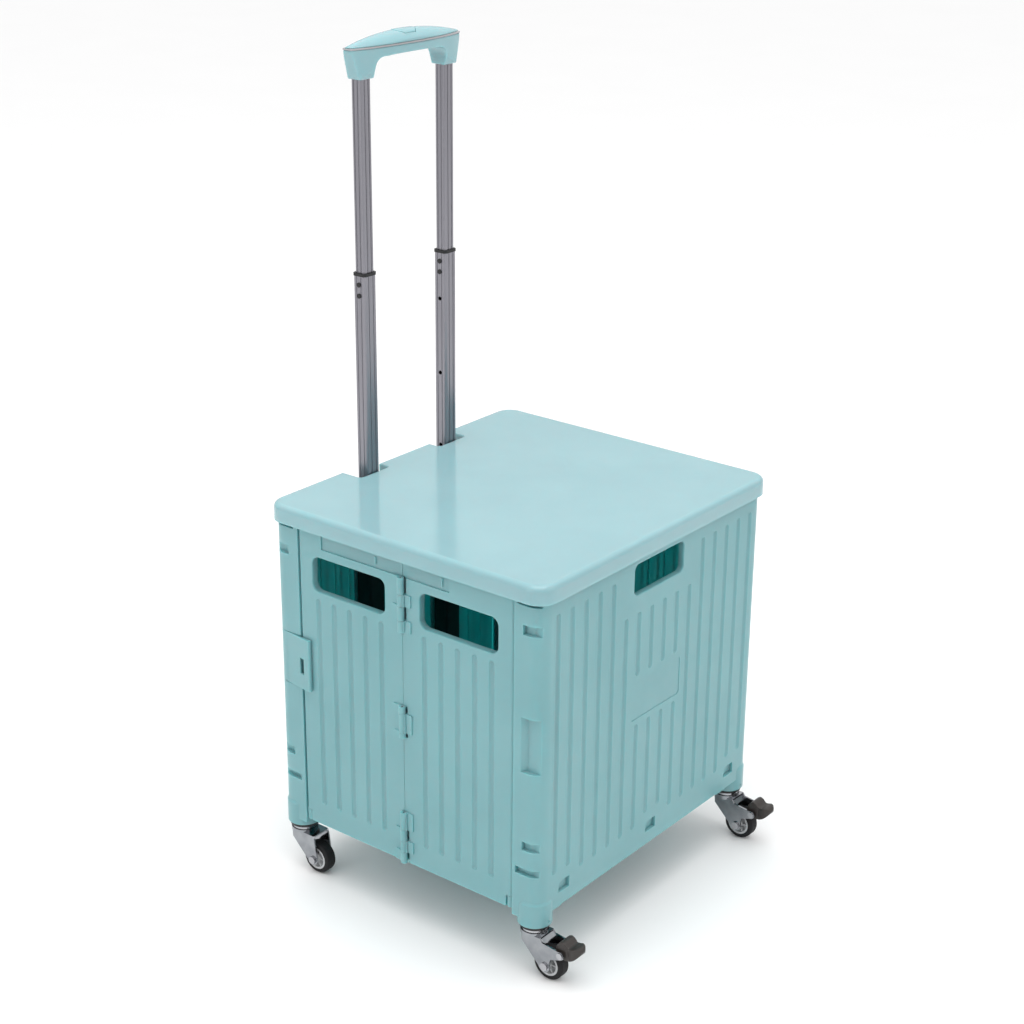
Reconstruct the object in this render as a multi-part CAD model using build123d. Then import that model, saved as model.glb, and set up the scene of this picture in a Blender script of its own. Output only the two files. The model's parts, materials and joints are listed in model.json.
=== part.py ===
from build123d import *

import os

# Foldable rolling shopping cart: a lidded crate on four swivel casters with a telescopic handle.
# Millimetres, +Z up, floor at z = 0.  -Y is the front, +Y the handle side.  The side walls are
# two half-panels each, hinged on vertical pins, that fold inwards so the front slides to the back.

# ---------------------------------------------------------------- driving dimensions
BODY_X = 430.0  # crate width over the corner posts
BODY_Y = 390.0  # crate depth, front face to back face
CORNER_R = 17.0  # outer radius of the corner posts
WALL_Z0 = 80.0  # lower edge of the walls above the floor
WALL_H = 395.2  # wall height, lower edge to the top under the lid
POST_T = 9.0  # thickness of the corner posts along the sides
PANEL_T = 7.0  # depth of the front and back panels, skin and ribs
SKIN = 3.0  # moulded skin thickness
GROOVE_W = 9.0  # decorative flute in the front and back walls
LEAF_GROOVE_W = 8.0  # the same flute in the folding half-panels
GROOVE_D = 2.2
BEVEL = 0.7  # softened edge round the hand openings
RUN_FIT = 0.05  # radial clearance of pins in their bores

LID_SIDE = 6.0  # overhang of the lid over the sides and the front
LID_BACK = 4.0  # overhang of the lid over the back
LID_RIM_H = 378.0  # lower edge of the lid's rim above the wall's lower edge
LID_TOP_H = 399.0  # top of the lid
LID_WALL = 2.6  # rim thickness
LID_UNDER_H = 395.6  # underside of the lid's plate
LID_R = 23.0
LID_EDGE_R = 7.0  # rounding of the lid's outer top edge
NOTCH_W = 50.0  # opening in the lid around each handle tube
NOTCH_S = 29.5  # depth of that opening from the back face
LID_MID_S = 13.0  # back edge of the lid between the tubes, from the back face

LEAF_T = 8.4  # thickness of the folding half-panels
LEAF_INSET = 0.6  # how far their outer face lies inside the posts' outer face
FRONT_PIVOT = 41.5  # front hinge line, from the front face
REAR_PIVOT = 346.0  # rear hinge line, from the front face
CENTRE_OUT = 1.6  # the centre hinge line lies this far outside the posts' face
POST_GAP = 4.9  # from a post hinge line to the end of the post
KNUCKLE_R = 4.0  # centre hinge knuckles
PIN_R = 1.5  # hinge pins
LEDGE_W = 27.5  # ledge at the foot of each half-panel that closes the floor's side gap
LEDGE_START = 36.0  # clear of the caster socket while the panel swings

FLOOR_HALF = 176.0  # half width of the hinged floor
FLOOR_TOP = -1.0  # its top, from the wall's lower edge
FLOOR_T = 7.0
FLOOR_AXIS_S = 35.0  # floor hinge axis, from the back face
FLOOR_BACK_S = 45.0  # back edge of the floor
FLOOR_FRONT = 12.0  # front edge of the floor, from the front face

TUBE_X = 71.0  # handle tubes, either side of the middle
TUBE_S = 18.7  # tube centre, from the back face
MID_TUBE = (20.0, 18.0)
TOP_TUBE = (17.2, 15.2)
BASE_TUBE = (22.4, 20.4)
HOUSING = (26.0, 23.0)
TUBE_WALL = 1.2
MID_TUBE_H = (310.0, 637.6)  # lower and upper end, from the wall's lower edge
TOP_TUBE_H = (585.0, 883.0)
COLLAR_H = 640.6
GRIP_HALF = 92.0
GRIP_DEPTH = 34.0
GRIP_SOCKET_H = 859.0
GRIP_UNDER_H = 881.5
GRIP_PART_H = 892.0  # parting line between the grip's shell and the trim under its cover
GRIP_TRIM_T = 1.8
GRIP_TOP_H = 906.5
BUTTON = (32.0, 22.0)
BUTTON_CORNER = 7.0  # cut corners that make the button eight-sided

SWIVEL_IN = 18.0  # caster swivel axis, in from both faces
SOCKET_R = 19.8
SOCKET_H = (-15.0, 13.0)
TRAIL = 24.0  # wheel axle behind the swivel axis
AXLE_H = -60.0
WHEEL_R = 20.0
WHEEL_W = 15.0
CHEEK_IN = 11.2  # inner face of the fork cheeks from the middle plane
CHEEK_T = 2.0
PEDAL_REACH = 68.0  # tip of the brake pedal from the swivel axis
PEDAL_PIVOT = (-45.0, -38.0)  # from the swivel axis, and from the wall's lower edge

# ---------------------------------------------------------------- derived places
# The origin lies under the middle of the whole cart, from the pedal tips to the lid's back edge.
FRONT_Y = -(BODY_Y + LID_BACK + SWIVEL_IN - PEDAL_REACH) / 2
BACK_Y = FRONT_Y + BODY_Y
HALF_X = BODY_X / 2
MID_Y = (FRONT_Y + BACK_Y) / 2
PIVOT_X = -(HALF_X - LEAF_INSET - LEAF_T / 2)
CENTRE_X = -(HALF_X + CENTRE_OUT)
FRONT_PIVOT_Y = FRONT_Y + FRONT_PIVOT
REAR_PIVOT_Y = FRONT_Y + REAR_PIVOT
CENTRE_Y = (FRONT_PIVOT_Y + REAR_PIVOT_Y) / 2
LEAF_L = CENTRE_Y - FRONT_PIVOT_Y
TUBE_Y = BACK_Y - TUBE_S
SWIVEL_X = HALF_X - SWIVEL_IN
FRONT_SWIVEL_Y = FRONT_Y + SWIVEL_IN
REAR_SWIVEL_Y = BACK_Y - SWIVEL_IN
BORE_R = PIN_R + RUN_FIT

# Heights of the hinge knuckles above the wall's lower edge, on each half-panel of the centre hinge.
REAR_FINGERS = [(0.2, 13.8), (28.9, 43.1), (162.0, 168.0), (192.4, 201.0), (307.2, 323.8), (338.6, 358.4)]
FRONT_FINGERS = [(14.2, 28.5), (43.5, 65.8), (168.4, 192.0), (293.0, 306.8), (324.2, 338.2)]
CENTRE_ZONES = [(0.0, 66.2), (161.6, 201.4), (292.6, 358.8)]
POST_ZONES = [(-0.4, 14.0), (381.0, 395.6)]

parts = {}


def h(height):
    """Height above the floor of a height above the wall's lower edge."""
    return WALL_Z0 + height


def block(x0, x1, y0, y1, z0, z1):
    """A box between two corners; heights count from the wall's lower edge."""
    size = Box(abs(x1 - x0), abs(y1 - y0), abs(z1 - z0))
    return Pos((x0 + x1) / 2, (y0 + y1) / 2, h((z0 + z1) / 2)) * size


def prism(face, z0, z1):
    """A plan face drawn in XY, raised between two heights."""
    return extrude(Pos(0, 0, h(z0)) * face, z1 - z0)


def rod(x, y, radius, z0, z1):
    """An upright cylinder."""
    return prism(Pos(x, y) * Circle(radius), z0, z1)


def cross_rod(y, z, radius, x0, x1):
    """A cylinder along X."""
    turned = Pos(x0, y, h(z)) * Rot(0, 90, 0)
    return turned * extrude(Circle(radius), x1 - x0)


def side_prism(face, x0, x1):
    """A face drawn as (Y, height above the wall's lower edge), thickened along X."""
    return Pos(x0, 0, WALL_Z0) * extrude(Plane.YZ * face, x1 - x0)


def front_prism(face, y0, y1):
    """A face drawn as (X, height above the wall's lower edge), thickened along Y."""
    return Pos(0, y1, WALL_Z0) * extrude(Plane.XZ * face, y1 - y0)


def plan_rect(x0, x1, y0, y1, radius=0.0):
    """A plan rectangle between two corners."""
    width, depth = abs(x1 - x0), abs(y1 - y0)
    shape = RectangleRounded(width, depth, radius) if radius else Rectangle(width, depth)
    return Pos((x0 + x1) / 2, (y0 + y1) / 2) * shape


def flute(width, z0, z1):
    """Cutter for an upright flute: a capsule whose axis lies outside the wall face at x = 0."""
    radius = (width**2 / 4 + GROOVE_D**2) / (2 * GROOVE_D)
    low, high = h(z0 + width / 2), h(z1 - width / 2)
    slant = radius * 0.5**0.5
    side = Line((radius, low), (radius, high))
    cap = ThreePointArc((radius, high), (slant, high + slant), (0, high + radius))
    axis_line = Line((0, high + radius), (0, low - radius))
    foot = ThreePointArc((0, low - radius), (slant, low - slant), (radius, low))
    profile = make_face([side.edge(), cap.edge(), axis_line.edge(), foot.edge()])
    return Pos(radius - GROOVE_D, 0, 0) * revolve(Plane.XZ * profile, Axis.Z)


def flutes(width, z0, z1, places):
    """Flute cutters at places (x, y, turn) on a wall face; turn points out of the wall."""
    cutter = flute(width, z0, z1)
    return [Pos(x, y) * Rot(0, 0, turn) * cutter for x, y, turn in places]


def opening(centre, size, radius, grow=0.0):
    """Rounded outline of an opening, grown on every side."""
    return Pos(*centre) * RectangleRounded(size[0] + 2 * grow, size[1] + 2 * grow, radius + grow)


def both_sides(shape):
    """The shape and its mirror image across the middle plane."""
    return [shape, mirror(shape, about=Plane.YZ)]


def on_side(shape, side):
    """The left-hand shape as it is, or mirrored to the right."""
    return shape if side == "left" else mirror(shape, about=Plane.YZ)


def body_outline(inset=0.0):
    """Plan outline of the crate over its posts."""
    radius = max(CORNER_R - inset, 1.0)
    return Pos(0, MID_Y) * RectangleRounded(BODY_X - 2 * inset, BODY_Y - 2 * inset, radius)


# ---------------------------------------------------------------- corner posts
SLOT_DEPTH = 5.5
POST_SLOTS = [(48.6, 57.4, 33.0), (80.0, 91.0, 24.0), (338.7, 350.5, 25.0), (372.4, 380.0, 33.0)]
CATCH_H = (176.0, 242.0)  # height of the catch recess and of the latch


def corner_band(front, along_side, depth):
    """Plan band of a given depth that wraps the left front or left back corner."""
    ring = body_outline() - body_outline(depth)
    y0, y1 = (FRONT_Y, FRONT_Y + along_side) if front else (BACK_Y - along_side, BACK_Y)
    return ring & plan_rect(-HALF_X, -HALF_X + 6.6, y0, y1)


def catch_recess():
    """V-shaped scoop in the left front post, with its valley upright."""
    points = [(-1.0, 27.6), (6.4, 21.0), (6.6, 3.6), (3.0, -2.0), (-1.0, -2.0)]
    face = make_face(Polyline(*[(-HALF_X + x, FRONT_Y + y) for x, y in points], close=True))
    return prism(face, *CATCH_H)


def post_slots(front):
    """Moulding windows that wrap each corner post."""
    cutters = []
    for z0, z1, along_side in POST_SLOTS:
        cutters.append(prism(corner_band(front, along_side, SLOT_DEPTH), z0, z1))
    return cutters


def post_ring():
    """The closed ring of posts, front and back walls before it is split."""
    inner = Pos(0, MID_Y) * RectangleRounded(BODY_X - 2 * POST_T, BODY_Y - 2 * PANEL_T, 9.0)
    return prism(body_outline() - inner, 0.0, WALL_H)


def caster_socket(x, y):
    """Round socket at the foot of a post, with a domed shoulder and the bore for the stem bush."""
    low, high = SOCKET_H
    barrel = rod(x, y, SOCKET_R, low, high)
    shoulder = Pos(x, y, h(high + 9.0)) * Cone(SOCKET_R, 11.0, 18.0)
    bore = rod(x, y, 7.6, low - 1.0, 14.0)
    dimple = Pos(x, y - SOCKET_R, h(low + 5.0)) * Rot(90, 0, 0) * Cylinder(1.4, 2.0)
    return barrel + shoulder - bore - dimple


def post_foot(y_post, y_swivel):
    """Thickened foot under the post, between its seam and the caster socket."""
    strip = plan_rect(-HALF_X, -HALF_X + POST_T, y_post, y_swivel)
    return prism(body_outline() & strip, -6.5, 0.1)


def post_knuckle(y, toward_post):
    """Hinge knuckles that stand out of the end of a post, around the pin."""
    shapes = []
    for z0, z1 in POST_ZONES:
        low, high = z0 + 0.4, z1 - 0.4
        web = block(PIVOT_X - 2.4, PIVOT_X + 2.4, y, y + toward_post * (POST_GAP + 2.0), low, high)
        shapes.append(rod(PIVOT_X, y, LEAF_T / 2, low, high) + web)
    return shapes


def pin_bores(x, y, radius=BORE_R):
    """A bore over the full height of the wall."""
    return rod(x, y, radius, 2.0, WALL_H - 3.0)


# ---------------------------------------------------------------- front and back panels
GROOVE_COUNT = 16
GROOVE_PITCH = 24.9
FRONT_GROOVE_H = (32.5, 360.0)
HAND = ((0.0, 349.75), (96.0, 37.5))  # front hand opening, its centre and size
LABEL = ((0.0, 200.0), (98.0, 48.0))  # blank label field
CATCH_X = 168.0  # the outer ones of three blind recesses at the foot
CATCH_Z = (16.5, 30.5)
CATCH_DEPTH = 4.5
RIB_W = 11.0


def groove_centres():
    """X of each groove in the front and back panels."""
    first = -GROOVE_PITCH * (GROOVE_COUNT - 1) / 2
    return [first + i * GROOVE_PITCH for i in range(GROOVE_COUNT)]


def front_groove_spans(x):
    """Heights that one front groove covers, stopping at the opening, label and foot recesses."""
    low, high = FRONT_GROOVE_H
    if min(abs(abs(x) - CATCH_X), abs(x)) < 20.0:
        low = 44.0
    if abs(x) < HAND[1][0] / 2 + 20.0:
        high = 310.0
    if abs(x) < LABEL[1][0] / 2:
        return [(low, 170.0), (231.0, high)]
    return [(low, high)]


def panel_ribs(x, spans, y0, y1):
    """Ribs behind one flute of the front or back panel."""
    return [block(x - RIB_W / 2, x + RIB_W / 2, y0, y1, low - 3, high + 3) for low, high in spans]


def panel_pocket(y_skin, y_inner):
    """Inner recess of a panel that leaves its skin, rim and the strip under the lid."""
    return block(-HALF_X + 30.0, HALF_X - 30.0, y_skin, y_inner, 5.0, WALL_H - 6.0)


def front_solids():
    """Everything added to the front wall: ribs, opening frame, recess backs, sockets, hinges."""
    inner = FRONT_Y + PANEL_T
    solids = []
    for x in groove_centres()[1:-1]:
        rib_y = FRONT_Y + SKIN - 0.5, FRONT_Y + SKIN + 1.6
        solids += panel_ribs(x, front_groove_spans(x), *rib_y)
    for x in (-CATCH_X, 0, CATCH_X):
        solids.append(block(x - 13, x + 13, FRONT_Y + SKIN - 0.5, inner, CATCH_Z[0] - 4, CATCH_Z[1] + 4))
    solids.append(front_prism(opening(*HAND, 7.5, 3.5), FRONT_Y + 1.0, inner))
    solids += both_sides(caster_socket(-SWIVEL_X, FRONT_SWIVEL_Y))
    rest_x = -SWIVEL_X + SOCKET_R
    rest = block(rest_x - 4, rest_x + 18, FRONT_SWIVEL_Y - 8, FRONT_SWIVEL_Y + 8, -12.0, -8.6)
    foot = post_foot(FRONT_PIVOT_Y - POST_GAP, FRONT_SWIVEL_Y - 4)
    for one in [rest, foot, *post_knuckle(FRONT_PIVOT_Y, -1)]:
        solids += both_sides(one)
    return solids


def front_cuts():
    """Everything cut from the front wall."""
    cuts = []
    for x in groove_centres():
        for span in front_groove_spans(x):
            cuts += flutes(GROOVE_W, *span, [(x, FRONT_Y, -90)])
    cuts.append(front_prism(opening(*HAND, 7.5), FRONT_Y - 1, FRONT_Y + PANEL_T + 1))
    cuts.append(front_prism(opening(*HAND, 7.5, BEVEL), FRONT_Y - 1, FRONT_Y + BEVEL))
    cuts.append(front_prism(opening(*LABEL, 5.0), FRONT_Y - 1, FRONT_Y + 0.8))
    for x in (-CATCH_X, 0, CATCH_X):
        cuts.append(block(x - 10, x + 10, FRONT_Y - 1, FRONT_Y + CATCH_DEPTH, *CATCH_Z))
    bush_bore = rod(-SWIVEL_X, FRONT_SWIVEL_Y, 7.6, SOCKET_H[0] - 1, 14.0)
    for one in [*post_slots(True), catch_recess(), pin_bores(PIVOT_X, FRONT_PIVOT_Y), bush_bore]:
        cuts += both_sides(one)
    return cuts


def front_panel():
    """Front wall with its two corner posts, caster sockets and floor rests, in one moulding."""
    post_end = FRONT_PIVOT_Y - POST_GAP
    shape = post_ring() & block(-HALF_X - 1, HALF_X + 1, FRONT_Y - 1, post_end, -1.0, WALL_H + 1)
    shape -= panel_pocket(FRONT_Y + SKIN, FRONT_Y + PANEL_T + 1)
    shape = shape.fuse(*front_solids())
    return shape.cut(*front_cuts())


def back_solids():
    """Everything added to the back wall: ribs, tube seats, floor ledge, sockets, hinges."""
    inner = BACK_Y - PANEL_T
    solids = []
    for x in groove_centres()[1:-1]:
        solids += panel_ribs(x, [FRONT_GROOVE_H], BACK_Y - SKIN - 1.6, BACK_Y - SKIN + 0.5)
    for x in (-TUBE_X, TUBE_X):
        solids.append(block(x - 15, x + 15, inner, BACK_Y - 1, 5.0, WALL_H - 20.0))
    bottom = FLOOR_TOP - FLOOR_T
    ledge_y = BACK_Y - FLOOR_BACK_S + 1
    solids.append(block(-FLOOR_HALF, FLOOR_HALF, ledge_y, BACK_Y - 1.0, bottom, FLOOR_TOP))
    solids.append(block(-FLOOR_HALF, FLOOR_HALF, inner, BACK_Y - 1.0, bottom, 2.0))
    solids += both_sides(caster_socket(-SWIVEL_X, REAR_SWIVEL_Y))
    solids += both_sides(post_foot(REAR_PIVOT_Y + POST_GAP, REAR_SWIVEL_Y + 4))
    for knuckle_shape in post_knuckle(REAR_PIVOT_Y, 1):
        solids += both_sides(knuckle_shape)
    return solids


def floor_ears():
    """Hinge ears of the floor on the back ledge."""
    axis_y, axis_h = BACK_Y - FLOOR_AXIS_S, FLOOR_TOP - FLOOR_T / 2
    ears = []
    for x0, x1 in FLOOR_HINGE_EARS:
        ears.append(cross_rod(axis_y, axis_h, FLOOR_T / 2, x0, x1))
        ears.append(block(x0, x1, axis_y, axis_y + 7, axis_h - 2.5, axis_h + 2.5))
    return ears


def back_cuts():
    """Everything cut from the back wall."""
    places = [(x, BACK_Y, 90) for x in groove_centres()]
    cuts = flutes(GROOVE_W, *FRONT_GROOVE_H, places)
    for x in (-TUBE_X, TUBE_X):
        for z in SCREW_HEIGHTS:
            cuts.append(Pos(x, BACK_Y - 2, h(z)) * Rot(90, 0, 0) * Cylinder(2.1, 14))
    cuts.append(cross_rod(BACK_Y - FLOOR_AXIS_S, FLOOR_TOP - FLOOR_T / 2, BORE_R, -46, 46))
    latch_bore = rod(*LATCH_PIN, BORE_R, LATCH_H[0] - 8, LATCH_H[1] + 8)
    pocket = prism(latch_pocket(), LATCH_H[0] - 0.8, LATCH_H[1] + 0.8)
    bush_bore = rod(-SWIVEL_X, REAR_SWIVEL_Y, 7.6, SOCKET_H[0] - 1, 14.0)
    pin_bore = pin_bores(PIVOT_X, REAR_PIVOT_Y)
    for one in [*post_slots(False), pocket, pin_bore, latch_bore, bush_bore]:
        cuts += both_sides(one)
    return cuts


def back_panel():
    """Back wall with its posts, caster sockets, floor ledge, floor hinge and handle seats."""
    post_start = REAR_PIVOT_Y + POST_GAP
    shape = post_ring() & block(-HALF_X - 1, HALF_X + 1, post_start, BACK_Y + 1, -1.0, WALL_H + 1)
    shape -= panel_pocket(BACK_Y - PANEL_T - 1, BACK_Y - SKIN)
    shape = shape.fuse(*back_solids())
    dip_x = TUBE_X + NOTCH_W / 2 + 4.5
    dip = block(-dip_x, dip_x, BACK_Y - PANEL_T - 1, BACK_Y + 1, 375.0, WALL_H + 1)
    hinge_y = BACK_Y - FLOOR_BACK_S - 1, BACK_Y - FLOOR_AXIS_S + 5.5
    hinge_gap = block(-50, 50, *hinge_y, -9.0, 0.0)
    shape = shape.cut(dip, hinge_gap).fuse(*floor_ears())
    return shape.cut(*back_cuts())


# ---------------------------------------------------------------- folding half-panels
LEAF_GROOVES = 5
LEAF_GROOVE_PITCH = 23.8
LEAF_GROOVE_FIRST = 25.5  # first groove from the post hinge line
LEAF_GROOVE_H = (28.0, 295.5)
LEAF_HAND = ((72.0, 325.5), (110.0, 43.0))  # hand opening, from the post hinge line
STRIP_H = (357.6, 386.0)  # sunk strip under the lid's rim
STRIP_DEPTH = 1.6
TICK_H = (362.0, 371.0)  # short bar left standing in the strip


def leaf_solids(y, out, inn):
    """Everything added inside a half-panel: ribs, opening frame, bar and floor ledge."""
    low, high = LEAF_GROOVE_H
    (hand_u, hand_z), hand_size = LEAF_HAND
    solids = [side_prism(opening((y + hand_u, hand_z), hand_size, 10.0, 3.5), out + 1.0, inn)]
    for c in leaf_grooves(y):
        rib_x = out + SKIN - 0.5, out + SKIN + 1.6
        solids.append(block(*rib_x, c - RIB_W / 2, c + RIB_W / 2, low - 3, high + 3))
    solids.append(block(out + 1.0, inn, y + 4, y + LEAF_L - 2, 286.0, 290.0))
    solids.append(block(inn - 2, inn + LEDGE_W, y + LEDGE_START, y + LEAF_L - 2.5, 0.8, 4.0))
    return solids


def leaf_grooves(y):
    """Y of each flute in a half-panel that starts at the hinge line y."""
    return [y + LEAF_GROOVE_FIRST + i * LEAF_GROOVE_PITCH for i in range(LEAF_GROOVES)]


def half_panel(strip_start, tick, fingers, gaps=()):
    """Left front half-panel, from the post hinge (u = 0) to the centre hinge.

    The sunk strip starts at strip_start and its tick stands at u = tick; fingers are the
    knuckles it carries and gaps the clearance cut beside the other half-panel's knuckles."""
    y = FRONT_PIVOT_Y
    out, inn = -(HALF_X - LEAF_INSET), -(HALF_X - LEAF_INSET - LEAF_T)
    (hand_u, hand_z), hand_size = LEAF_HAND
    hand_at = y + hand_u, hand_z
    shape = block(out, inn, y, y + LEAF_L - 0.3, 0.0, WALL_H) + rod(PIVOT_X, y, LEAF_T / 2, 0.0, WALL_H)
    shape -= block(out + SKIN, inn + 1, y + 8, y + LEAF_L - 9, 5.0, WALL_H - 6)
    shape = shape.fuse(*leaf_solids(y, out, inn))
    cuts = flutes(LEAF_GROOVE_W, *LEAF_GROOVE_H, [(out, c, 180) for c in leaf_grooves(y)])
    cuts.append(side_prism(opening(hand_at, hand_size, 10.0), out - 1, inn + 1))
    cuts.append(side_prism(opening(hand_at, hand_size, 10.0, BEVEL), out - 1, out + BEVEL))
    cuts.append(block(out - 1, out + STRIP_DEPTH, y + strip_start, y + LEAF_L + 1, *STRIP_H))
    cuts += [block(-HALF_X - 1, inn + 1, y - 6, y + LEAF_T / 2 + 0.3, *zone) for zone in POST_ZONES]
    cuts += [rod(CENTRE_X, CENTRE_Y, KNUCKLE_R + 0.5, *zone) for zone in CENTRE_ZONES]
    cuts += [block(out - 1, out + 5.0, CENTRE_Y - 6.2, CENTRE_Y + 1, *gap) for gap in gaps]
    shape = shape.cut(*cuts)
    tick_y = y + tick - 1.0, y + tick + 1.0
    tick_bar = block(out + 0.1, out + STRIP_DEPTH + 0.2, *tick_y, *TICK_H)
    shape = shape.fuse(tick_bar, *[knuckle(*finger) for finger in fingers])
    bores = [rod(CENTRE_X, CENTRE_Y, BORE_R, z0 - 1, z1 + 1) for z0, z1 in CENTRE_ZONES]
    return shape.cut(pin_bores(PIVOT_X, y), *bores)


def knuckle(z0, z1):
    """One finger of the centre hinge with the raised pad that ties it to the front half-panel."""
    face = -(HALF_X - LEAF_INSET)
    pad = block(face - 1.6, face + 2.0, CENTRE_Y - 13, CENTRE_Y - 4.4, z0, z1)
    arm = block(CENTRE_X - 1.2, face + 1.6, CENTRE_Y - 5, CENTRE_Y, z0, z1)
    return rod(CENTRE_X, CENTRE_Y, KNUCKLE_R, z0, z1) + pad + arm


def flip_to_rear(shape):
    """Mirror a front half-panel across the centre hinge to make a rear one."""
    return mirror(shape, about=Plane.XZ.offset(-CENTRE_Y))


def long_pins(y):
    """The two full-height steel pins of the post hinges at one end of the cart."""
    return both_sides(rod(PIVOT_X, y, PIN_R, 2.4, WALL_H - 3.4))


def centre_pins(side):
    """Three short pins of one side's centre hinge."""
    pins = [rod(CENTRE_X, CENTRE_Y, PIN_R, z0 + 0.6, z1 - 0.6) for z0, z1 in CENTRE_ZONES]
    return [on_side(p, side) for p in pins]


# ---------------------------------------------------------------- latches on the back posts
LATCH_H = (175.0, 240.0)
LATCH_T = 2.6
LATCH_PIN = (-HALF_X + 17.0, BACK_Y - 4.2)
LATCH_END = 333.5  # free edge, from the front face
LATCH_STEP = 0.7  # gap between the latch and the crate's side
LATCH_PROUD = 5.3  # how far its thick free end stands out


def latch_pocket():
    """Plan of the recess in the back post that the latch lies in."""
    x, y = LATCH_PIN
    band = body_outline() - body_outline(LATCH_T + 0.5)
    region = plan_rect(-HALF_X - 1, x + 5.0, REAR_PIVOT_Y, BACK_Y + 1)
    eye = Pos(x, y) * Circle(3.7) + plan_rect(x - 3.7, x + 5.0, y, BACK_Y + 1)
    return (band & region) + eye


def latch():
    """Left latch: an eye on its pin, a strap round the corner and a wedge-shaped free end."""
    x, y = LATCH_PIN
    hinge_side = REAR_PIVOT_Y + 5.4
    band = body_outline() - body_outline(LATCH_T)
    strap = band & plan_rect(-HALF_X - 1, x, hinge_side + 1.6, BACK_Y + 1)
    eye = Pos(x, y) * Circle(3.3) + plan_rect(x - 3.3, x, y, BACK_Y - 1.0)
    near, end_y = -HALF_X - LATCH_STEP, FRONT_Y + LATCH_END
    heel_y = BACK_Y - CORNER_R - 1.0
    outer = [(-HALF_X, heel_y), (-HALF_X - LATCH_PROUD, end_y + 1.5), (-HALF_X - LATCH_PROUD + 1.5, end_y)]
    strap_in = -HALF_X + LATCH_T
    inner = [(near, end_y), (near, hinge_side), (strap_in, hinge_side), (strap_in, heel_y)]
    flap = make_face(Polyline(*outer, *inner, close=True))
    shape = prism(strap + eye + flap, *LATCH_H)
    window = block(-HALF_X - 8, -HALF_X + 8, FRONT_Y + 343.0, FRONT_Y + 350.0, 194.0, 214.0)
    return shape - window - rod(x, y, BORE_R, LATCH_H[0] - 1, LATCH_H[1] + 1)


def latch_pins():
    """The two steel pins that the latches swing on."""
    return both_sides(rod(*LATCH_PIN, PIN_R, LATCH_H[0] - 7.4, LATCH_H[1] + 7.4))


# ---------------------------------------------------------------- lid
def lid_plate(inset=0.0):
    """Plan of the lid without its cut-outs."""
    x, front, back = HALF_X + LID_SIDE, FRONT_Y - LID_SIDE, BACK_Y + LID_BACK
    return plan_rect(-x + inset, x - inset, front + inset, back - inset, LID_R - inset)


def lid_cutouts(inset=0.0):
    """Plan of the notches for the handle tubes and of the set-back middle edge."""
    back = BACK_Y + LID_BACK
    mid = plan_rect(-TUBE_X, TUBE_X, BACK_Y - LID_MID_S - inset, back + 5)
    notch_x = TUBE_X - NOTCH_W / 2 - inset, TUBE_X + NOTCH_W / 2 + inset
    notch = plan_rect(*notch_x, BACK_Y - NOTCH_S - inset, back + 30, 5.0 + inset)
    return mid + notch + mirror(notch, about=Plane.YZ)


def lid():
    """Lift-off lid: one glossy moulded plate with a rim that drops over the walls."""
    shape = prism(lid_plate(), LID_RIM_H, LID_TOP_H)
    shape = fillet(shape.edges().group_by(Axis.Z)[-1], LID_EDGE_R)
    shape -= prism(lid_cutouts(), LID_RIM_H - 1, LID_TOP_H + 1)
    shape -= extrude(Pos(0, 0, h(LID_TOP_H - 1.2)) * lid_cutouts(), 1.4, taper=-40)
    cavity = lid_plate(LID_WALL) - lid_cutouts(LID_WALL)
    return shape - prism(cavity, LID_RIM_H - 1, LID_UNDER_H)


# ---------------------------------------------------------------- hinged floor
FLOOR_HINGE_EARS = [(-46.0, -32.0), (-7.0, 7.0), (32.0, 46.0)]
FLOOR_HINGE_ARMS = [(-31.0, -8.0), (8.0, 31.0)]


def floor_panel():
    """Floor plate hinged on the back ledge, ribbed below, with a finger slot to lift it."""
    front, back = FRONT_Y + FLOOR_FRONT, BACK_Y - FLOOR_BACK_S
    bottom, under = FLOOR_TOP - FLOOR_T, FLOOR_TOP - 1
    axis_y, axis_h = BACK_Y - FLOOR_AXIS_S, FLOOR_TOP - FLOOR_T / 2
    shape = block(-FLOOR_HALF, FLOOR_HALF, front, back, FLOOR_TOP - SKIN, FLOOR_TOP)
    ribs = [block(sx * 158, sx * FLOOR_HALF, front, back, bottom, under) for sx in (-1, 1)]
    for i in range(7):
        y = front + 1.5 + i * (back - front - 3) / 6
        ribs.append(block(-160, 160, y - 1.5, y + 1.5, bottom, under))
    for x in range(-120, 121, 40):
        ribs.append(block(x - 1.5, x + 1.5, front, back, bottom, under))
    for x0, x1 in FLOOR_HINGE_ARMS:
        ribs.append(cross_rod(axis_y, axis_h, FLOOR_T / 2, x0, x1))
        ribs.append(block(x0, x1, back - 3, axis_y, axis_h - 3.2, axis_h + 3.2))
    finger = Pos(0, front + 30)
    slot_wall = prism(finger * SlotOverall(76, 28), bottom, under)
    shape = shape.fuse(*ribs, slot_wall)
    slot = prism(finger * SlotOverall(70, 22), bottom - 1, FLOOR_TOP + 1)
    return shape.cut(slot, cross_rod(axis_y, axis_h, BORE_R, -40, 40))


# ---------------------------------------------------------------- telescopic handle
SCREW_HEIGHTS = (40.0, 330.0)
LOCK_HEIGHTS = (395.0, 488.0, 581.0)
RIVET_HEIGHTS = (614.0, 627.0)


def tube_section(size, wall, flutes=True):
    """Plan of a fluted aluminium tube centred on the origin."""
    width, depth = size
    outer = RectangleRounded(width, depth, 3.4)
    if flutes:
        for offset in (-0.18, 0.18):
            for side in (-1, 1):
                outer -= Pos(offset * width, side * depth / 2) * Rectangle(1.5, 0.9)
                outer -= Pos(side * width / 2, offset * depth) * Rectangle(0.9, 1.5)
    return outer - RectangleRounded(width - 2 * wall, depth - 2 * wall, 3.4 - wall)


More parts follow.
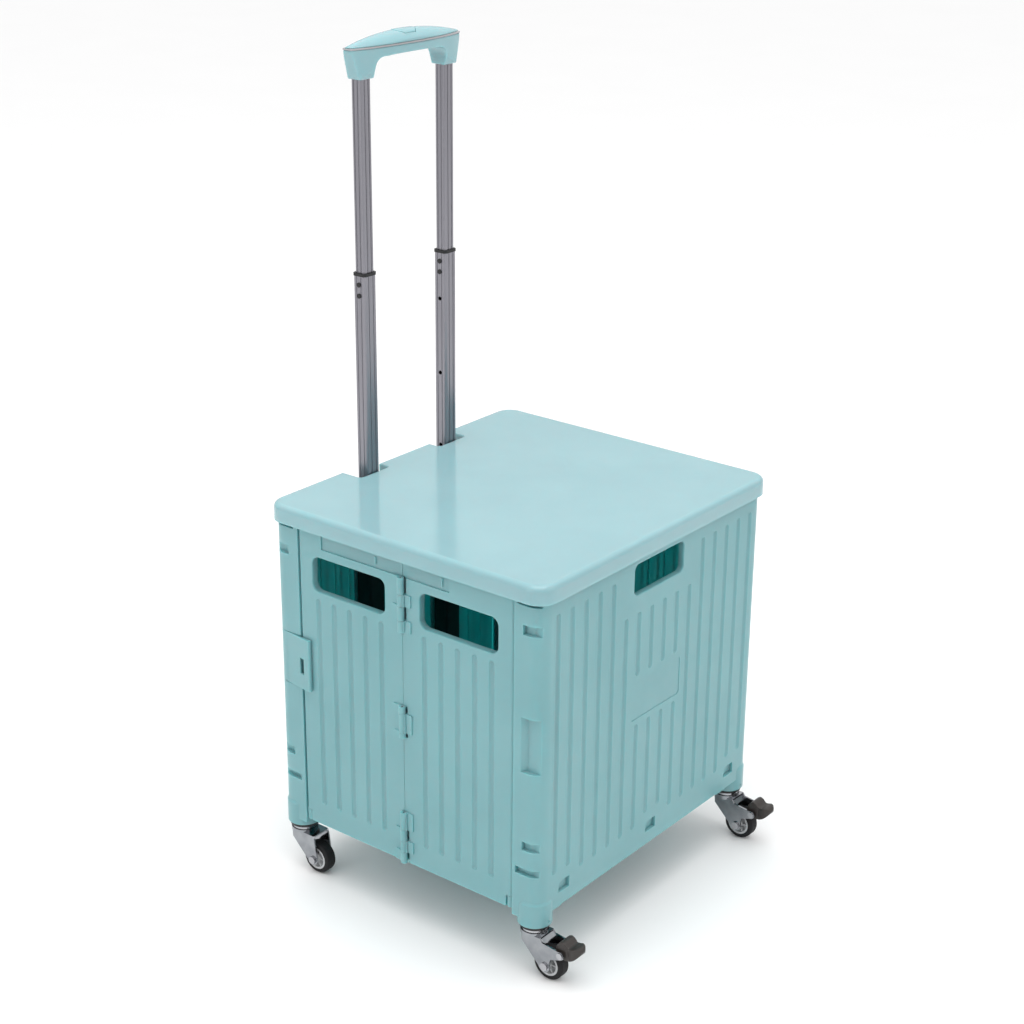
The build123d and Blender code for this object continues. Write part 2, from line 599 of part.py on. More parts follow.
def tube_pair(size, wall, z0, z1, flutes=True):
    """Two identical tubes, one on each side."""
    section = tube_section(size, wall, flutes)
    return [prism(Pos(x, TUBE_Y) * section, z0, z1) for x in (-TUBE_X, TUBE_X)]


def housings():
    """Black housings that hold the fixed tubes on the inside of the back panel."""
    outline = RectangleRounded(*HOUSING, 3.0)
    bore = RectangleRounded(BASE_TUBE[0] + 0.2, BASE_TUBE[1] + 0.2, 3.5)
    out = []
    for x in (-TUBE_X, TUBE_X):
        place = Pos(x, TUBE_Y)
        shape = prism(place * (outline - bore), 8.0, 376.0) + prism(place * outline, 8.0, 12.0)
        for z in SCREW_HEIGHTS:
            shape -= Pos(x, TUBE_Y + HOUSING[1] / 2, h(z)) * Rot(90, 0, 0) * Cylinder(2.0, 2.6)
        out.append(shape)
    return out


def housing_screws():
    """Screws through the back panel into the tube housings."""
    out = []
    for sx in (-1, 1):
        for z in SCREW_HEIGHTS:
            seat = Pos(sx * TUBE_X, 0, h(z)) * Rot(90, 0, 0)
            shank_y = (BACK_Y - PANEL_T - 1.0, BACK_Y + 0.2)
            shank = Pos(0, sum(shank_y) / 2) * seat * Cylinder(1.9, shank_y[1] - shank_y[0])
            out.append(shank + Pos(0, BACK_Y + 0.9) * seat * Cylinder(4.0, 1.8))
    return out


def middle_tubes():
    """Sliding middle stage with its lock holes on the inner faces."""
    out = []
    for sx, tube in zip((-1, 1), tube_pair(MID_TUBE, TUBE_WALL, *MID_TUBE_H)):
        inner_x = sx * (TUBE_X - MID_TUBE[0] / 2)
        for z in LOCK_HEIGHTS:
            tube -= Pos(inner_x, TUBE_Y, h(z)) * Rot(0, 90, 0) * Cylinder(2.5, 4)
        for z in RIVET_HEIGHTS:
            tube -= Pos(sx * TUBE_X, TUBE_Y, h(z)) * Rot(0, 90, 0) * Cylinder(1.4, 30)
        out.append(tube)
    return out


def collars():
    """Black end collars that guide the upper tubes."""
    ring = RectangleRounded(MID_TUBE[0] + 1.6, MID_TUBE[1] + 1.6, 4.0)
    throat = RectangleRounded(TOP_TUBE[0] + 0.5, TOP_TUBE[1] + 0.5, 3.6)
    seat = RectangleRounded(MID_TUBE[0] + 0.1, MID_TUBE[1] + 0.1, 3.4)
    tube_end = MID_TUBE_H[1]
    out = []
    for x in (-TUBE_X, TUBE_X):
        place = Pos(x, TUBE_Y)
        cap = prism(place * (ring - throat), tube_end + 0.1, COLLAR_H)
        out.append(cap + prism(place * (ring - seat), tube_end - 0.4, tube_end + 0.6))
    return out


def collar_rivets():
    """Small black rivets below the collars, on both sides of each tube."""
    out = []
    for sx in (-1, 1):
        for z in RIVET_HEIGHTS:
            for face in (-1, 1):
                x = sx * TUBE_X + face * MID_TUBE[0] / 2
                turn = Pos(x, TUBE_Y, h(z)) * Rot(0, 90 * face, 0)
                shank = turn * Pos(0, 0, -TUBE_WALL / 2) * Cylinder(1.35, TUBE_WALL)
                out.append(shank + turn * Pos(0, 0, 0.4) * Cylinder(2.9, 0.8))
    return out


GRIP_LEG = (60.0, 82.0)  # inner and outer edge of a leg at its socket
GRIP_LEG_DEPTH = 19.6
GRIP_ARCH_R = 13.0  # between a leg and the underside
GRIP_END_R = 14.0
CROWN_R = 19.5  # crown of the cover across the grip, at its middle
CROWN_RISE = 11.0  # how far the crown falls towards the ends
BUTTON_REST = (894.0, 896.8)  # flange that keeps the button in its cover
YOKE_H = (890.2, 893.9)


def grip_plan(grow=0.0):
    """Lens-shaped plan of the grip with blunt, rounded ends."""
    half, depth = GRIP_HALF + grow, GRIP_DEPTH / 2 + grow
    lens = Ellipse(GRIP_HALF + 7.0 + grow, depth)
    return Pos(0, TUBE_Y) * (lens & RectangleRounded(2 * half, 2 * depth, GRIP_END_R))


def octagon(width, depth, corner):
    """Eight-sided plan: a rectangle round the handle's middle with its corners cut off."""
    x, y = width / 2, depth / 2
    quarter = [(x, y - corner), (x - corner, y)]
    half = quarter + [(-px, py) for px, py in reversed(quarter)]
    points = half + [(-px, -py) for px, py in half]
    return Pos(0, TUBE_Y) * make_face(Polyline(*points, close=True))


def grip_front():
    """Front view of the grip's lower half: two flared legs and the arched bar between them."""
    inner, outer = GRIP_LEG
    reach, under, foot = inner - GRIP_ARCH_R, GRIP_UNDER_H, GRIP_SOCKET_H
    slant = GRIP_ARCH_R * 0.5**0.5
    spring = under - GRIP_ARCH_R
    turn = reach + slant, spring + slant
    arch = ThreePointArc((-reach, under), (0, under + 0.8), (reach, under))
    right = ThreePointArc((reach, under), turn, (inner, spring))
    left = ThreePointArc((-inner, spring), (-turn[0], turn[1]), (-reach, under))
    end = [(GRIP_HALF, under + 7), (GRIP_HALF, GRIP_PART_H)]
    corners = [(inner, spring), (inner, foot), (outer, foot), *end]
    mirrored = [(-x, z) for x, z in reversed(corners)]
    rest = Polyline(*corners, *mirrored)
    return make_face([arch.edge(), right.edge(), *rest.edges(), left.edge()])


def grip_side():
    """Side view of the grip's lower half, narrow at the sockets and full at the parting line."""
    low, high, top = GRIP_LEG_DEPTH / 2, GRIP_DEPTH / 2 + 0.5, GRIP_PART_H + 1
    belly_y, belly_h = high - 2.2, GRIP_UNDER_H - 2.0
    foot = [(-low, GRIP_SOCKET_H), (low, GRIP_SOCKET_H)]
    right = ThreePointArc(foot[1], (belly_y, belly_h), (high, top))
    parting = Line((high, top), (-high, top))
    left = ThreePointArc((-high, top), (-belly_y, belly_h), foot[0])
    face = make_face([Line(*foot).edge(), right.edge(), parting.edge(), left.edge()])
    return Pos(TUBE_Y, 0) * face


def grip_crown(grow=0.0):
    """Barrel-shaped body whose top is the crown of the grip, curved both ways."""
    middle, half = CROWN_R + grow, GRIP_HALF + 4.0
    end = middle - CROWN_RISE * (half / GRIP_HALF) ** 2
    arc = ThreePointArc((-half, end), (0, middle), (half, end))
    rest = Polyline((half, end), (half, 0), (-half, 0), (-half, end))
    barrel = revolve(make_face([arc.edge(), *rest.edges()]), Axis.X)
    return Pos(0, TUBE_Y, h(GRIP_TOP_H - CROWN_R)) * barrel


def button_well(z0, z1):
    """Room around the button's flange."""
    return prism(Pos(0, TUBE_Y) * Rectangle(BUTTON[0] + 7, BUTTON[1] + 5), z0, z1)


def yoke_channel(z0, z1):
    """Room for the push yoke along the grip."""
    return prism(Pos(0, TUBE_Y) * RectangleRounded(2 * TUBE_X + 10, 10, 2), z0, z1)


def grip_shell():
    """Lower half of the grip with its legs, tube sockets and the channel for the push yoke."""
    depth = GRIP_DEPTH / 2 + 1
    shape = front_prism(grip_front(), TUBE_Y - depth, TUBE_Y + depth)
    shape = shape & side_prism(grip_side(), -GRIP_HALF - 1, GRIP_HALF + 1)
    shape = shape & prism(grip_plan(), GRIP_SOCKET_H - 1, GRIP_PART_H)
    cuts = [yoke_channel(885.7, GRIP_PART_H + 1), button_well(889.4, GRIP_PART_H + 1)]
    for x in (-TUBE_X, TUBE_X):
        socket = Pos(x, TUBE_Y) * RectangleRounded(TOP_TUBE[0] + 0.2, TOP_TUBE[1] + 0.2, 3.4)
        cuts.append(prism(socket, GRIP_SOCKET_H - 1, TOP_TUBE_H[1] + 0.2))
        cuts.append(rod(x, TUBE_Y, 3.0, TOP_TUBE_H[1] - 1, 887.0))
    return shape.cut(*cuts)


def grip_trim():
    """Thin contrasting trim between the grip's shell and its cover."""
    low, high = GRIP_PART_H + 0.05, GRIP_PART_H + GRIP_TRIM_T - 0.05
    room = yoke_channel(low - 1, high + 1), button_well(low - 1, high + 1)
    return prism(grip_plan(0.3), low, high).cut(*room)


def grip_cover():
    """Crowned top cover of the grip with the button's opening."""
    low = GRIP_PART_H + GRIP_TRIM_T
    shape = prism(grip_plan(), low, GRIP_TOP_H + 1) & grip_crown()
    hole = prism(octagon(BUTTON[0] + 0.7, BUTTON[1] + 0.7, BUTTON_CORNER + 0.2), low, GRIP_TOP_H + 2)
    room = button_well(low - 1, BUTTON_REST[1] + 0.4), yoke_channel(low - 1, YOKE_H[1] + 0.3)
    return shape.cut(hole, *room)


def release_button():
    """Release button, crowned like the cover, with the flange that keeps it in."""
    key = prism(octagon(*BUTTON, BUTTON_CORNER), BUTTON_REST[1] - 0.8, GRIP_TOP_H + 1)
    return (key & grip_crown(0.5)) + prism(octagon(BUTTON[0] + 5, BUTTON[1] + 3, 4.0), *BUTTON_REST)


def push_yoke():
    """Bar under the button that pushes both rods."""
    return prism(Pos(0, TUBE_Y) * RectangleRounded(2 * TUBE_X + 8, 8, 1.5), *YOKE_H)


def push_rods():
    """Steel rods that run down inside the upper tubes to the lock."""
    return [rod(x, TUBE_Y, 2.0, 592.0, YOKE_H[0] - 0.1) for x in (-TUBE_X, TUBE_X)]


# ---------------------------------------------------------------- casters
RING_R = 17.4  # black dust ring under a socket
RING_H = (-19.6, -15.1)
FLANGE_R = 15.0
RACE_R = 16.2


def stem(x, y):
    """Fixed stem with its race flange and the kingpin that the fork turns on."""
    shank = rod(x, y, 5.4, RING_H[0], 11.0)
    flange = rod(x, y, FLANGE_R, -23.6, RING_H[0] - 0.2)
    kingpin = rod(x, y, 4.0, -31.5, -23.6) + rod(x, y, 6.2, -31.6, -29.3)
    return shank + flange + kingpin


def stem_bush(x, y):
    """Black plastic bush and dust ring between the socket and the caster."""
    sleeve = rod(x, y, 7.5, RING_H[0], 12.0) + rod(x, y, RING_R, *RING_H)
    return sleeve - rod(x, y, 5.45, RING_H[0] - 1, 13.0)


def fork_profile(braked):
    """Side view of a fork cheek, as (Y from the swivel axis, height)."""
    lobe = Pos(-TRAIL, AXLE_H) * Circle(7.2)
    if braked:
        points = [(9, -27), (8, -38), (-17.6, -63.4), (-30, -56.3), (-32, -48), (-47, -42.6),
                  (-43, -33.6), (-20, -31), (-17, -27)]
        face = make_face(Polyline(*points, close=True)) + Pos(*PEDAL_PIVOT) * Circle(5.0)
        return face + lobe
    points = [(9, -27), (8, -38), (-17.6, -63.4), (-31, -58), (-27, -30), (-26, -27)]
    return make_face(Polyline(*points, close=True)) + lobe


def fork(x, y, braked):
    """Stamped steel fork: dished top with its race, two cheeks and, if braked, the pedal arms."""
    cheek_out = CHEEK_IN + CHEEK_T
    nose = -17.0 if braked else -26.0
    solids = [rod(x, y, RACE_R, -29.0, -24.2)]
    for cheek_x in (-cheek_out, CHEEK_IN):
        profile = side_prism(fork_profile(braked), x + cheek_x, x + cheek_x + CHEEK_T)
        solids.append(Pos(0, y, 0) * profile)
    shape = block(x - cheek_out, x + cheek_out, y + nose, y + 9, -29.0, -27.0).fuse(*solids)
    cuts = [rod(x, y, 4.1, -33, -20), rod(x, y, FLANGE_R + 0.3, -25.4, -23.0)]
    cuts.append(cross_rod(y - TRAIL, AXLE_H, 3.05, x - 20, x + 20))
    if braked:
        cuts.append(cross_rod(y + PEDAL_PIVOT[0], PEDAL_PIVOT[1], 2.55, x - 20, x + 20))
    return shape.cut(*cuts)


def axle(x, y):
    """Axle bolt with its round head and hexagonal nut."""
    outer = CHEEK_IN + CHEEK_T
    y, z = y - TRAIL, AXLE_H
    nut = Pos(x + outer + 0.1, y, h(z)) * Rot(0, 90, 0) * extrude(RegularPolygon(4.6, 6), 3.4)
    head = cross_rod(y, z, 4.8, x - outer - 2.3, x - outer - 0.1)
    return cross_rod(y, z, 3.0, x - outer - 1.0, x + outer + 4.6) + nut + head


def hub(x, y):
    """Moulded wheel hub with a web and six ribs."""
    y, z = y - TRAIL, AXLE_H
    rim = cross_rod(y, z, 14.4, x - 7.3, x + 7.3) - cross_rod(y, z, 11.9, x - 8, x + 8)
    web = cross_rod(y, z, 12.4, x - 1.5, x + 1.5)
    boss = cross_rod(y, z, 5.8, x - 10.4, x + 10.4)
    rib = Pos(0, 8.8, 0) * Box(12.0, 7.4, 1.4)
    ribs = [Pos(x, y, h(z)) * Rot(i * 60, 0, 0) * rib for i in range(6)]
    return rim.fuse(web, boss, *ribs) - cross_rod(y, z, 3.1, x - 12, x + 12)


def tyre(x, y):
    """Soft black tread with rounded shoulders."""
    ring = cross_rod(y - TRAIL, AXLE_H, WHEEL_R, x - WHEEL_W / 2, x + WHEEL_W / 2)
    rims = [e for e in ring.edges() if e.geom_type == GeomType.CIRCLE]
    ring = fillet(rims, 3.4)
    return ring - cross_rod(y - TRAIL, AXLE_H, 14.45, x - 10, x + 10)


def brake_pedal(x, y):
    """Foot pedal on its rivet: hump, toe and the cam that comes down on the tread."""
    tip = (-PEDAL_REACH, -30.5)
    toe = Spline((-41.5, -23.5), (-48.0, -22.5), (-54.5, -27.0), (-61.5, -25.5), tip)
    under = Spline(tip, (-64.5, -36.0), (-57.0, -42.0), (-50.0, -44.0))
    back = Polyline((-50.0, -44.0), (-41.5, -43.5), (-36.5, -33.5), (-38.0, -27.5), (-41.5, -23.5))
    face = make_face([toe.edge(), under.edge(), *back.edges()])
    cam_reach = 6.9
    cam = Pos(PEDAL_PIVOT[0] + cam_reach * 0.438, PEDAL_PIVOT[1] - cam_reach * 0.899) * Circle(3.0)
    shape = Pos(0, y, 0) * side_prism(face + cam, x - 10.0, x + 10.0)
    plan = Pos(x, y - 41.0) * Rectangle(19.0, 22.0) + Pos(x, y - PEDAL_REACH + 10.0) * Circle(10.2)
    shape = shape & prism(plan, -60.0, 0.0)
    return shape - cross_rod(y + PEDAL_PIVOT[0], PEDAL_PIVOT[1], 2.6, x - 15, x + 15)


def pedal_rivet(x, y):
    """Rivet that the pedal turns on."""
    outer = CHEEK_IN + CHEEK_T
    y, z = y + PEDAL_PIVOT[0], PEDAL_PIVOT[1]
    shape = cross_rod(y, z, 2.5, x - outer - 0.6, x + outer + 0.6)
    for x0, x1 in ((x - outer - 1.3, x - outer - 0.1), (x + outer + 0.1, x + outer + 1.3)):
        shape += cross_rod(y, z, 3.9, x0, x1)
    return shape


# ---------------------------------------------------------------- assembly
def add(name, shapes):
    """Collect one named piece, or a group of identical ones."""
    items = list(shapes) if isinstance(shapes, list) else [shapes]
    parts[name] = Compound(children=[s for item in items for s in item.solids()])


add("front_panel", front_panel())
add("back_panel", back_panel())
front_half = half_panel(84.5, 95.5, FRONT_FINGERS, gaps=REAR_FINGERS)
rear_half = flip_to_rear(half_panel(31.5, 113.0, REAR_FINGERS))
for side in ("left", "right"):
    add(f"{side}_front_half_panel", on_side(front_half, side))
    add(f"{side}_rear_half_panel", on_side(rear_half, side))
    add(f"{side}_centre_hinge_pins", centre_pins(side))
    add(f"{side}_latch", on_side(latch(), side))
add("latch_pins", latch_pins())
add("front_hinge_pins", long_pins(FRONT_PIVOT_Y))
add("rear_hinge_pins", long_pins(REAR_PIVOT_Y))
add("lid", lid())
add("floor_panel", floor_panel())
floor_axis = BACK_Y - FLOOR_AXIS_S, FLOOR_TOP - FLOOR_T / 2
add("floor_hinge_pin", cross_rod(*floor_axis, PIN_R, -45.5, 45.5))
add("tube_housings", housings())
add("housing_screws", housing_screws())
add("fixed_tubes", tube_pair(BASE_TUBE, 1.0, 12.2, 375.0, flutes=False))
add("middle_tubes", middle_tubes())
add("collars", collars())
add("collar_rivets", collar_rivets())
add("upper_tubes", tube_pair(TOP_TUBE, TUBE_WALL, *TOP_TUBE_H))
add("grip_shell", grip_shell())
add("grip_trim", grip_trim())
add("grip_cover", grip_cover())
add("release_button", release_button())
add("push_yoke", push_yoke())
add("push_rods", push_rods())
for end, swivel_y in (("front", FRONT_SWIVEL_Y), ("rear", REAR_SWIVEL_Y)):
    add(f"{end}_caster_stems", [stem(x, swivel_y) for x in (-SWIVEL_X, SWIVEL_X)])
    add(f"{end}_stem_bushes", [stem_bush(x, swivel_y) for x in (-SWIVEL_X, SWIVEL_X)])
    for side, x in (("left", -SWIVEL_X), ("right", SWIVEL_X)):
        name = f"{end}_{side}"
        add(f"{name}_fork", fork(x, swivel_y, end == "front"))
        add(f"{name}_axle", axle(x, swivel_y))
        add(f"{name}_hub", hub(x, swivel_y))
        add(f"{name}_tyre", tyre(x, swivel_y))
        if end == "front":
            add(f"{name}_brake_pedal", brake_pedal(x, swivel_y))
            add(f"{name}_pedal_rivet", pedal_rivet(x, swivel_y))

os.makedirs("parts", exist_ok=True)
for name, shape in parts.items():
    export_step(shape, f"parts/{name}.step")
everything = Compound(children=[p for p in parts.values()]).bounding_box()
print(len(parts), "nodes; overall", everything.min, everything.max)
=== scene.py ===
import json
import math

import bpy
from mathutils import Matrix, Vector

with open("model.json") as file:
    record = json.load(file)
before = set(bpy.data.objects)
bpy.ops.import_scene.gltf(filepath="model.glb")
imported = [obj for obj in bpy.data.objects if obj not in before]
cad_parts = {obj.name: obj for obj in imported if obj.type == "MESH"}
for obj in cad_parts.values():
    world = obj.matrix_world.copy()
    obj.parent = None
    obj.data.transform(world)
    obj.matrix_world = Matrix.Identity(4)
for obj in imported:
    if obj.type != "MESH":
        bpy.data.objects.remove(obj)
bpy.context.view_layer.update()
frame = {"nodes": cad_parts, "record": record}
nodes = frame["nodes"]

# ---------------------------------------------------------------- camera
# place in metres, angles in degrees, lens and sensor in millimetres
CAMERA_PLACE = (-1.709, -1.309, 1.306)
CAMERA_AZIMUTH = -51.75
CAMERA_ELEVATION = 21.6
CAMERA_ROLL = 0.455
CAMERA_LENS = 70.2
SENSOR_WIDTH = 36.0
FLOOR_SIZE = 600.0  # metres, wide enough that its far edge lies close to the horizon


def add_camera():
    """The camera, from its place, its angles and its lens."""
    data = bpy.data.cameras.new("camera")
    data.lens = CAMERA_LENS
    data.sensor_width = SENSOR_WIDTH
    data.clip_end = 2.0 * FLOOR_SIZE
    camera = bpy.data.objects.new("camera", data)
    bpy.context.scene.collection.objects.link(camera)
    turn = Matrix.Rotation(math.radians(CAMERA_AZIMUTH), 4, "Z")
    tilt = Matrix.Rotation(math.radians(90.0 - CAMERA_ELEVATION), 4, "X")
    roll = Matrix.Rotation(math.radians(CAMERA_ROLL), 4, "Z")
    camera.matrix_world = Matrix.Translation(CAMERA_PLACE) @ turn @ tilt @ roll
    bpy.context.scene.camera = camera


# ---------------------------------------------------------------- materials
class Shade:
    """A material's node tree with short names for the nodes it is built from."""

    def __init__(self, name):
        self.material = bpy.data.materials.new(name)
        self.material.use_nodes = True
        self.tree = self.material.node_tree
        self.shader = self.tree.nodes["Principled BSDF"]
        self.place = self.node("ShaderNodeTexCoord").outputs["Object"]

    def node(self, kind, **settings):
        made = self.tree.nodes.new(kind)
        for key, value in settings.items():
            setattr(made, key, value)
        return made

    def link(self, source, target):
        self.tree.links.new(source, target)

    def set(self, **values):
        """Uniform values, set on the shader's own sockets."""
        for key, value in values.items():
            self.shader.inputs[key.replace("_", " ")].default_value = value

    def scaled(self, scale):
        """Object coordinates stretched by a scale for each axis."""
        mapping = self.node("ShaderNodeMapping")
        mapping.inputs["Scale"].default_value = scale
        self.link(self.place, mapping.inputs["Vector"])
        return mapping.outputs["Vector"]

    def noise(self, scale, detail=3.0, stretch=None):
        """Noise of a given frequency per metre."""
        made = self.node("ShaderNodeTexNoise")
        made.inputs["Scale"].default_value = scale
        made.inputs["Detail"].default_value = detail
        self.link(self.scaled(stretch) if stretch else self.place, made.inputs["Vector"])
        return made.outputs["Fac"]

    def ramp(self, value, low, high, start=0.3, end=0.7):
        """A value moved into the range low to high."""
        made = self.node("ShaderNodeMapRange")
        made.inputs["From Min"].default_value = start
        made.inputs["From Max"].default_value = end
        made.inputs["To Min"].default_value = low
        made.inputs["To Max"].default_value = high
        self.link(value, made.inputs["Value"])
        return made.outputs["Result"]

    def blend(self, value, first, second):
        """A colour that goes from first to second with a value."""
        made = self.node("ShaderNodeMix", data_type="RGBA")
        made.inputs["A"].default_value = (*first, 1.0)
        made.inputs["B"].default_value = (*second, 1.0)
        self.link(value, made.inputs["Factor"])
        return made.outputs["Result"]

    def bump(self, height, strength, distance, after=None):
        """Bump from a height, over an earlier bump if one is given."""
        made = self.node("ShaderNodeBump")
        made.inputs["Strength"].default_value = strength
        made.inputs["Distance"].default_value = distance
        self.link(height, made.inputs["Height"])
        if after is not None:
            self.link(after, made.inputs["Normal"])
        return made.outputs["Normal"]


SCATTER_DEPTH = 0.012  # how far light travels in the mint plastic, in metres
SCATTER_COLOUR = (0.25, 1.0, 0.95)  # red is absorbed first, so light through a wall is teal


def moulded_plastic(name, colour, shade, roughness, grain=0.06, coat=0.0, subsurface=0.0):
    """Injection-moulded plastic: faint flow mottling, fine grain and uneven gloss."""
    s = Shade(name)
    flow = s.noise(9.0, 4.0)
    fine = s.noise(900.0, 2.0)
    tone = s.ramp(flow, 0.0, 1.0, 0.35, 0.65)
    s.link(s.blend(tone, shade, colour), s.shader.inputs["Base Color"])
    s.link(s.ramp(s.noise(60.0, 5.0), roughness - 0.05, roughness + 0.07), s.shader.inputs["Roughness"])
    wave = s.bump(s.noise(14.0, 1.0), 0.05, 0.004)
    s.link(s.bump(fine, grain, 0.0004, wave), s.shader.inputs["Normal"])
    s.set(IOR=1.49, Coat_Weight=coat, Coat_Roughness=0.08)
    if subsurface:
        s.set(Subsurface_Weight=subsurface, Subsurface_Scale=SCATTER_DEPTH)
        s.shader.inputs["Subsurface Radius"].default_value = SCATTER_COLOUR
    return s.material


def drawn_aluminium(name, colour, shade, roughness):
    """Anodised aluminium tube: streaks along its length and light handling marks."""
    s = Shade(name)
    streaks = s.noise(1.0, 5.0, (900.0, 900.0, 6.0))
    cloud = s.noise(24.0, 3.0, (1.0, 1.0, 0.3))
    tone = s.ramp(streaks, 0.0, 1.0, 0.25, 0.75)
    s.link(s.blend(tone, shade, colour), s.shader.inputs["Base Color"])
    s.link(s.ramp(cloud, roughness - 0.06, roughness + 0.08), s.shader.inputs["Roughness"])
    s.link(s.bump(streaks, 0.12, 0.0003), s.shader.inputs["Normal"])
    s.set(Metallic=1.0, Anisotropic=0.4)
    return s.material


def plated_steel(name, colour, shade, roughness):
    """Zinc-plated pressed steel: bright, with faint clouding and fine pitting."""
    s = Shade(name)
    cloud = s.noise(60.0, 3.0)
    s.link(s.blend(s.ramp(cloud, 0.0, 1.0), shade, colour), s.shader.inputs["Base Color"])
    s.link(s.ramp(s.noise(200.0, 3.0), roughness - 0.04, roughness + 0.05), s.shader.inputs["Roughness"])
    s.link(s.bump(s.noise(1200.0, 2.0), 0.04, 0.0002), s.shader.inputs["Normal"])
    s.set(Metallic=1.0)
    return s.material


def tread_rubber(name, colour, shade):
    """Moulded wheel tread: dull, slightly dusty and finely rough."""
    s = Shade(name)
    dust = s.noise(220.0, 6.0)
    s.link(s.blend(s.ramp(dust, 0.0, 1.0, 0.4, 0.75), colour, shade), s.shader.inputs["Base Color"])
    s.link(s.ramp(dust, 0.55, 0.75), s.shader.inputs["Roughness"])
    s.link(s.bump(s.noise(1500.0, 3.0), 0.25, 0.0003), s.shader.inputs["Normal"])
    s.set(IOR=1.5, Specular_IOR_Level=0.25)
    return s.material


def make_materials():
    """One material for each of the record's slots, with its two tones and its roughness."""
    return {
        "mint_wall_plastic": moulded_plastic(
            "mint_wall", (0.185, 0.38, 0.405), (0.165, 0.355, 0.38), 0.34, subsurface=0.6),
        "mint_lid_plastic": moulded_plastic(
            "mint_lid", (0.24, 0.42, 0.455), (0.225, 0.40, 0.435), 0.16,
            grain=0.02, coat=0.35, subsurface=0.5),
        "trim_plastic": moulded_plastic(
            "trim_plastic", (0.38, 0.37, 0.385), (0.33, 0.32, 0.335), 0.3),
        "black_plastic": moulded_plastic(
            "black_plastic", (0.004, 0.004, 0.005), (0.008, 0.008, 0.009), 0.5),
        "tube_aluminium": drawn_aluminium(
            "tube_aluminium", (0.31, 0.305, 0.335), (0.23, 0.225, 0.25), 0.36),
        "tyre_rubber": tread_rubber(
            "tyre_rubber", (0.008, 0.008, 0.009), (0.018, 0.018, 0.019)),
        "hub_plastic": moulded_plastic(
            "hub_plastic", (0.5, 0.51, 0.52), (0.42, 0.43, 0.44), 0.4),
        "pedal_plastic": moulded_plastic(
            "pedal_plastic", (0.03, 0.024, 0.021), (0.022, 0.017, 0.015), 0.4),
        "plated_steel": plated_steel(
            "plated_steel", (0.38, 0.39, 0.41), (0.27, 0.28, 0.30), 0.1),
        "steel": plated_steel(
            "steel", (0.5, 0.5, 0.52), (0.42, 0.42, 0.44), 0.2),
    }


def dress_nodes(materials):
    """Every CAD node gets the material of its slot."""
    for part in frame["record"]["subparts"]:
        mesh = nodes[part["node"]].data
        mesh.materials.clear()
        mesh.materials.append(materials[part["material_slot"]])


ROUNDED = {"release_button": 2, "grip_shell": 14, "grip_cover": 6,
           "front_left_brake_pedal": 8, "front_right_brake_pedal": 8}
ROUNDING_GRID = 0.0007  # metres between the points of the even mesh


def round_edges():
    """Moulded pieces whose corners are soft: an even fine mesh, smoothed a given number of times."""
    for name, passes in ROUNDED.items():
        piece = nodes[name]
        grid = piece.modifiers.new("even_mesh", "REMESH")
        grid.mode = "VOXEL"
        grid.voxel_size = ROUNDING_GRID
        grid.use_smooth_shade = True
        soften = piece.modifiers.new("soften", "SMOOTH")
        soften.factor = 0.5
        soften.iterations = passes


# ---------------------------------------------------------------- studio
# heights are on a dome of radius 1
HORIZON_LIGHT = 0.45
ZENITH_LIGHT = 1.25
FULL_LIGHT_HEIGHT = 0.7  # the dome has its zenith light from here up
HORIZON_GLOW = 0.5  # added right at the horizon, so the floor's far edge fades out
GLOW_HEIGHT = 0.06


def add_floor():
    """A wide pale floor."""
    bpy.ops.mesh.primitive_grid_add(x_subdivisions=4, y_subdivisions=4, size=FLOOR_SIZE)
    floor = bpy.context.object
    floor.name = "studio_floor"
    s = Shade("studio_floor")
    s.link(s.blend(s.noise(3.0), (0.86, 0.86, 0.86), (0.88, 0.88, 0.88)), s.shader.inputs["Base Color"])
    s.set(Roughness=0.6)
    floor.data.materials.append(s.material)


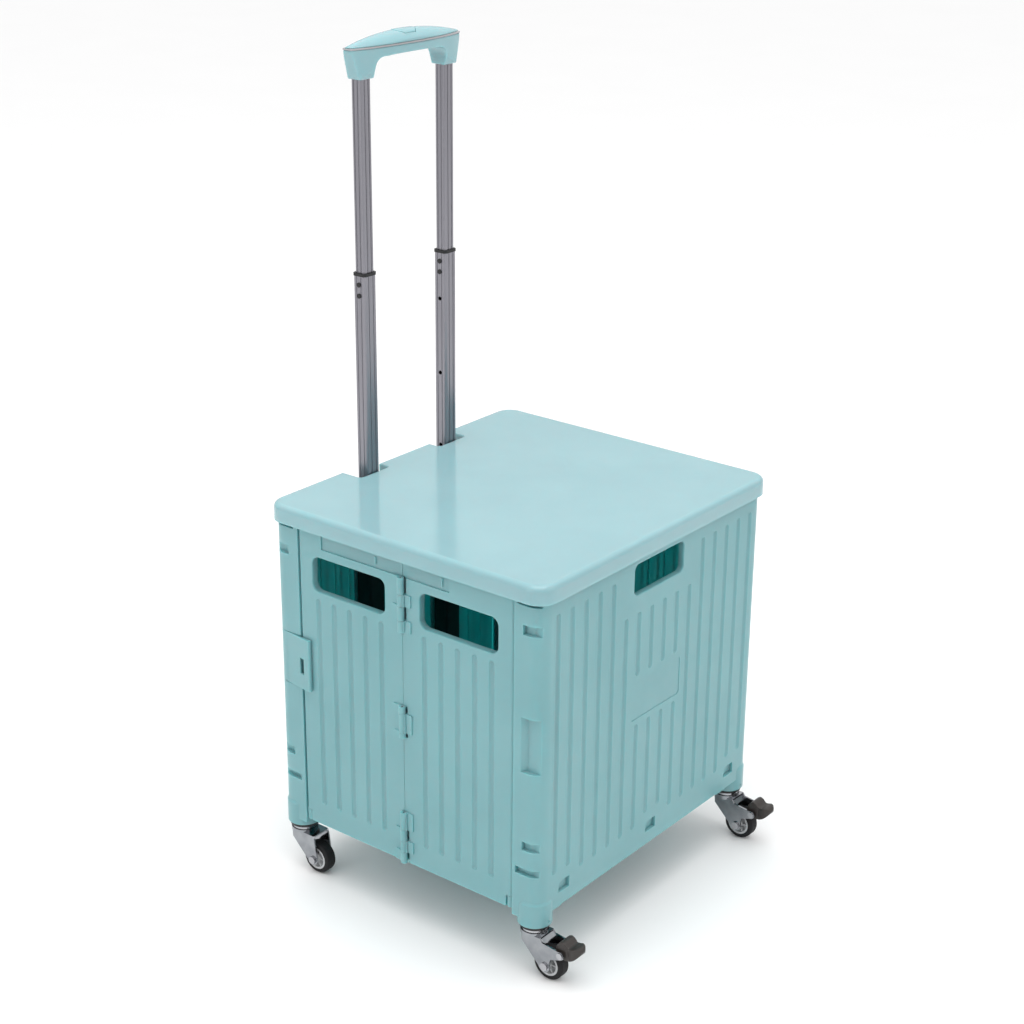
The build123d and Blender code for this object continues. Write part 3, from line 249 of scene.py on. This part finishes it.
def add_light(name, place, aim, size, power):
    """A square soft light at a place, turned to a point."""
    data = bpy.data.lights.new(name, "AREA")
    data.size = size
    data.energy = power
    lamp = bpy.data.objects.new(name, data)
    lamp.location = place
    lamp.rotation_euler = (Vector(aim) - Vector(place)).to_track_quat("-Z", "Y").to_euler()
    bpy.context.scene.collection.objects.link(lamp)


def fade(tree, height, top, first, last):
    """A strength that is first at the horizon, last at the height top, and in between below it."""
    made = tree.nodes.new("ShaderNodeMapRange")
    made.inputs["From Max"].default_value = top
    made.inputs["To Min"].default_value = first
    made.inputs["To Max"].default_value = last
    tree.links.new(height, made.inputs["Value"])
    return made.outputs["Result"]


def add_world():
    """White dome, darker low down for metal and gloss to show, with a thin bright band at the horizon."""
    world = bpy.data.worlds.new("studio")
    world.use_nodes = True
    tree = world.node_tree
    place = tree.nodes.new("ShaderNodeTexCoord")
    split = tree.nodes.new("ShaderNodeSeparateXYZ")
    tree.links.new(place.outputs["Generated"], split.inputs["Vector"])
    height = split.outputs["Z"]
    total = tree.nodes.new("ShaderNodeMath")
    total.operation = "ADD"
    tree.links.new(fade(tree, height, FULL_LIGHT_HEIGHT, HORIZON_LIGHT, ZENITH_LIGHT), total.inputs[0])
    tree.links.new(fade(tree, height, GLOW_HEIGHT, HORIZON_GLOW, 0.0), total.inputs[1])
    backdrop = tree.nodes["Background"]
    backdrop.inputs["Color"].default_value = (1.0, 1.0, 1.0, 1.0)
    tree.links.new(total.outputs["Value"], backdrop.inputs["Strength"])
    bpy.context.scene.world = world


def add_studio():
    """Even studio light: a bright dome, a large top light and two weak side lights."""
    add_world()
    bpy.context.scene.view_settings.view_transform = "Standard"
    add_light("top_light", (-0.4, -0.2, 3.2), (0.0, 0.0, 0.3), 2.4, 45.0)
    add_light("left_light", (-3.2, 0.6, 1.8), (0.0, 0.0, 0.4), 2.0, 12.0)
    add_light("front_light", (0.8, -3.4, 1.8), (0.0, 0.0, 0.3), 2.0, 8.0)


add_camera()
dress_nodes(make_materials())
round_edges()
add_floor()
add_studio()
